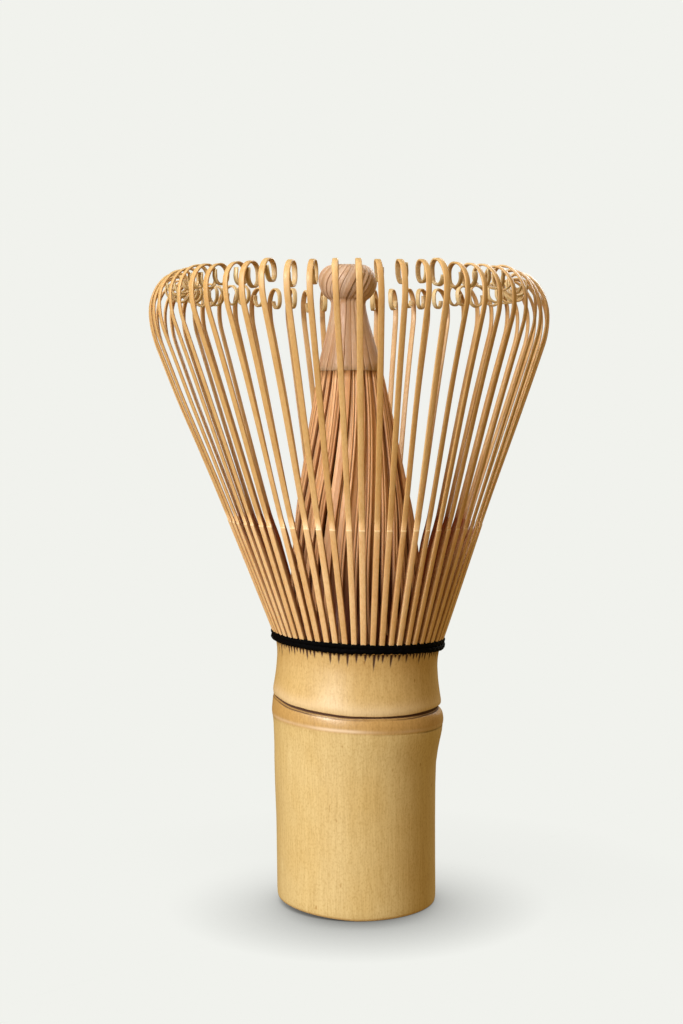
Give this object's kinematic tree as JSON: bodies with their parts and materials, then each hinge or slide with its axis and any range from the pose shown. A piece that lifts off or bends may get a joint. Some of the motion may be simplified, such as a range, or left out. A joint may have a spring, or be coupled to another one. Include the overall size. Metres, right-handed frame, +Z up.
{
  "type": "bamboo tea whisk",
  "caption": "Hand whisk for powdered tea: a hollow bamboo handle split into a flared crown of curled outer tines round a gathered inner cone, held by thread.",
  "frame": {"origin": "centre of the foot, on the axis of the culm", "axes": "+Z up along the axis from the foot to the tips of the tines; +X points through the middle of outer pair 01"},
  "size_m": [0.0668, 0.0668, 0.1082],
  "materials": {
    "culm": "satin",
    "outer_tine": "satin",
    "inner_tine": "satin",
    "thread": "matte"
  },
  "bodies": {
    "handle": {"culm_handle": "culm", "lacing_outer_lower": "thread", "lacing_outer_upper": "thread", "lacing_inner": "thread"},
    "inner_cone": {"inner_tines_01": "inner_tine", "inner_tines_02": "inner_tine", "inner_tines_03": "inner_tine", "inner_tines_04": "inner_tine", "inner_tines_05": "inner_tine", "inner_tines_06": "inner_tine", "inner_tines_07": "inner_tine", "inner_tines_08": "inner_tine", "inner_tines_09": "inner_tine", "inner_tines_10": "inner_tine", "inner_tines_11": "inner_tine", "inner_tines_12": "inner_tine", "inner_tines_13": "inner_tine", "inner_tines_14": "inner_tine", "inner_tines_15": "inner_tine"},
    "pair_01": {"outer_pair_01": "outer_tine"},
    "pair_02": {"outer_pair_02": "outer_tine"},
    "pair_03": {"outer_pair_03": "outer_tine"},
    "pair_04": {"outer_pair_04": "outer_tine"},
    "pair_05": {"outer_pair_05": "outer_tine"},
    "pair_06": {"outer_pair_06": "outer_tine"},
    "pair_07": {"outer_pair_07": "outer_tine"},
    "pair_08": {"outer_pair_08": "outer_tine"},
    "pair_09": {"outer_pair_09": "outer_tine"},
    "pair_10": {"outer_pair_10": "outer_tine"},
    "pair_11": {"outer_pair_11": "outer_tine"},
    "pair_12": {"outer_pair_12": "outer_tine"},
    "pair_13": {"outer_pair_13": "outer_tine"},
    "pair_14": {"outer_pair_14": "outer_tine"},
    "pair_15": {"outer_pair_15": "outer_tine"},
    "pair_16": {"outer_pair_16": "outer_tine"},
    "pair_17": {"outer_pair_17": "outer_tine"},
    "pair_18": {"outer_pair_18": "outer_tine"},
    "pair_19": {"outer_pair_19": "outer_tine"},
    "pair_20": {"outer_pair_20": "outer_tine"},
    "pair_21": {"outer_pair_21": "outer_tine"},
    "pair_22": {"outer_pair_22": "outer_tine"},
    "pair_23": {"outer_pair_23": "outer_tine"},
    "pair_24": {"outer_pair_24": "outer_tine"},
    "pair_25": {"outer_pair_25": "outer_tine"},
    "pair_26": {"outer_pair_26": "outer_tine"},
    "pair_27": {"outer_pair_27": "outer_tine"},
    "pair_28": {"outer_pair_28": "outer_tine"},
    "pair_29": {"outer_pair_29": "outer_tine"},
    "pair_30": {"outer_pair_30": "outer_tine"}
  },
  "joints": [
    {"name": "inner_cone_sway", "type": "hinge", "parent": "handle", "child": "inner_cone", "pos_m": [0, 0, 0.0453], "axis": [0, 1, 0], "range_deg": [-2.5, 2.5], "stiffness_Nm_per_rad": 0.25},
    {"name": "pair_01_flex", "type": "hinge", "parent": "handle", "child": "pair_01", "pos_m": [0.0132, 0, 0.04525], "axis": [0, 1, 0], "range_deg": [-7.5, 5], "stiffness_Nm_per_rad": 0.008},
    {"name": "pair_02_flex", "type": "hinge", "parent": "handle", "child": "pair_02", "pos_m": [0.01291, 0.00274, 0.04525], "axis": [-0.2079, 0.9781, 0], "range_deg": [-7.5, 5], "stiffness_Nm_per_rad": 0.008},
    {"name": "pair_03_flex", "type": "hinge", "parent": "handle", "child": "pair_03", "pos_m": [0.01206, 0.00537, 0.04525], "axis": [-0.4067, 0.9135, 0], "range_deg": [-7.5, 5], "stiffness_Nm_per_rad": 0.008},
    {"name": "pair_04_flex", "type": "hinge", "parent": "handle", "child": "pair_04", "pos_m": [0.01068, 0.00776, 0.04525], "axis": [-0.5878, 0.809, 0], "range_deg": [-7.5, 5], "stiffness_Nm_per_rad": 0.008},
    {"name": "pair_05_flex", "type": "hinge", "parent": "handle", "child": "pair_05", "pos_m": [0.00883, 0.00981, 0.04525], "axis": [-0.7431, 0.6691, 0], "range_deg": [-7.5, 5], "stiffness_Nm_per_rad": 0.008},
    {"name": "pair_06_flex", "type": "hinge", "parent": "handle", "child": "pair_06", "pos_m": [0.0066, 0.01143, 0.04525], "axis": [-0.866, 0.5, 0], "range_deg": [-7.5, 5], "stiffness_Nm_per_rad": 0.008},
    {"name": "pair_07_flex", "type": "hinge", "parent": "handle", "child": "pair_07", "pos_m": [0.00408, 0.01255, 0.04525], "axis": [-0.9511, 0.309, 0], "range_deg": [-7.5, 5], "stiffness_Nm_per_rad": 0.008},
    {"name": "pair_08_flex", "type": "hinge", "parent": "handle", "child": "pair_08", "pos_m": [0.00138, 0.01313, 0.04525], "axis": [-0.9945, 0.1045, 0], "range_deg": [-7.5, 5], "stiffness_Nm_per_rad": 0.008},
    {"name": "pair_09_flex", "type": "hinge", "parent": "handle", "child": "pair_09", "pos_m": [-0.00138, 0.01313, 0.04525], "axis": [-0.9945, -0.1045, 0], "range_deg": [-7.5, 5], "stiffness_Nm_per_rad": 0.008},
    {"name": "pair_10_flex", "type": "hinge", "parent": "handle", "child": "pair_10", "pos_m": [-0.00408, 0.01255, 0.04525], "axis": [-0.9511, -0.309, 0], "range_deg": [-7.5, 5], "stiffness_Nm_per_rad": 0.008},
    {"name": "pair_11_flex", "type": "hinge", "parent": "handle", "child": "pair_11", "pos_m": [-0.0066, 0.01143, 0.04525], "axis": [-0.866, -0.5, 0], "range_deg": [-7.5, 5], "stiffness_Nm_per_rad": 0.008},
    {"name": "pair_12_flex", "type": "hinge", "parent": "handle", "child": "pair_12", "pos_m": [-0.00883, 0.00981, 0.04525], "axis": [-0.7431, -0.6691, 0], "range_deg": [-7.5, 5], "stiffness_Nm_per_rad": 0.008},
    {"name": "pair_13_flex", "type": "hinge", "parent": "handle", "child": "pair_13", "pos_m": [-0.01068, 0.00776, 0.04525], "axis": [-0.5878, -0.809, 0], "range_deg": [-7.5, 5], "stiffness_Nm_per_rad": 0.008},
    {"name": "pair_14_flex", "type": "hinge", "parent": "handle", "child": "pair_14", "pos_m": [-0.01206, 0.00537, 0.04525], "axis": [-0.4067, -0.9135, 0], "range_deg": [-7.5, 5], "stiffness_Nm_per_rad": 0.008},
    {"name": "pair_15_flex", "type": "hinge", "parent": "handle", "child": "pair_15", "pos_m": [-0.01291, 0.00274, 0.04525], "axis": [-0.2079, -0.9781, 0], "range_deg": [-7.5, 5], "stiffness_Nm_per_rad": 0.008},
    {"name": "pair_16_flex", "type": "hinge", "parent": "handle", "child": "pair_16", "pos_m": [-0.0132, 0, 0.04525], "axis": [0, -1, 0], "range_deg": [-7.5, 5], "stiffness_Nm_per_rad": 0.008},
    {"name": "pair_17_flex", "type": "hinge", "parent": "handle", "child": "pair_17", "pos_m": [-0.01291, -0.00274, 0.04525], "axis": [0.2079, -0.9781, 0], "range_deg": [-7.5, 5], "stiffness_Nm_per_rad": 0.008},
    {"name": "pair_18_flex", "type": "hinge", "parent": "handle", "child": "pair_18", "pos_m": [-0.01206, -0.00537, 0.04525], "axis": [0.4067, -0.9135, 0], "range_deg": [-7.5, 5], "stiffness_Nm_per_rad": 0.008},
    {"name": "pair_19_flex", "type": "hinge", "parent": "handle", "child": "pair_19", "pos_m": [-0.01068, -0.00776, 0.04525], "axis": [0.5878, -0.809, 0], "range_deg": [-7.5, 5], "stiffness_Nm_per_rad": 0.008},
    {"name": "pair_20_flex", "type": "hinge", "parent": "handle", "child": "pair_20", "pos_m": [-0.00883, -0.00981, 0.04525], "axis": [0.7431, -0.6691, 0], "range_deg": [-7.5, 5], "stiffness_Nm_per_rad": 0.008},
    {"name": "pair_21_flex", "type": "hinge", "parent": "handle", "child": "pair_21", "pos_m": [-0.0066, -0.01143, 0.04525], "axis": [0.866, -0.5, 0], "range_deg": [-7.5, 5], "stiffness_Nm_per_rad": 0.008},
    {"name": "pair_22_flex", "type": "hinge", "parent": "handle", "child": "pair_22", "pos_m": [-0.00408, -0.01255, 0.04525], "axis": [0.9511, -0.309, 0], "range_deg": [-7.5, 5], "stiffness_Nm_per_rad": 0.008},
    {"name": "pair_23_flex", "type": "hinge", "parent": "handle", "child": "pair_23", "pos_m": [-0.00138, -0.01313, 0.04525], "axis": [0.9945, -0.1045, 0], "range_deg": [-7.5, 5], "stiffness_Nm_per_rad": 0.008},
    {"name": "pair_24_flex", "type": "hinge", "parent": "handle", "child": "pair_24", "pos_m": [0.00138, -0.01313, 0.04525], "axis": [0.9945, 0.1045, 0], "range_deg": [-7.5, 5], "stiffness_Nm_per_rad": 0.008},
    {"name": "pair_25_flex", "type": "hinge", "parent": "handle", "child": "pair_25", "pos_m": [0.00408, -0.01255, 0.04525], "axis": [0.9511, 0.309, 0], "range_deg": [-7.5, 5], "stiffness_Nm_per_rad": 0.008},
    {"name": "pair_26_flex", "type": "hinge", "parent": "handle", "child": "pair_26", "pos_m": [0.0066, -0.01143, 0.04525], "axis": [0.866, 0.5, 0], "range_deg": [-7.5, 5], "stiffness_Nm_per_rad": 0.008},
    {"name": "pair_27_flex", "type": "hinge", "parent": "handle", "child": "pair_27", "pos_m": [0.00883, -0.00981, 0.04525], "axis": [0.7431, 0.6691, 0], "range_deg": [-7.5, 5], "stiffness_Nm_per_rad": 0.008},
    {"name": "pair_28_flex", "type": "hinge", "parent": "handle", "child": "pair_28", "pos_m": [0.01068, -0.00776, 0.04525], "axis": [0.5878, 0.809, 0], "range_deg": [-7.5, 5], "stiffness_Nm_per_rad": 0.008},
    {"name": "pair_29_flex", "type": "hinge", "parent": "handle", "child": "pair_29", "pos_m": [0.01206, -0.00537, 0.04525], "axis": [0.4067, 0.9135, 0], "range_deg": [-7.5, 5], "stiffness_Nm_per_rad": 0.008},
    {"name": "pair_30_flex", "type": "hinge", "parent": "handle", "child": "pair_30", "pos_m": [0.01291, -0.00274, 0.04525], "axis": [0.2079, 0.9781, 0], "range_deg": [-7.5, 5], "stiffness_Nm_per_rad": 0.008}
  ]
}
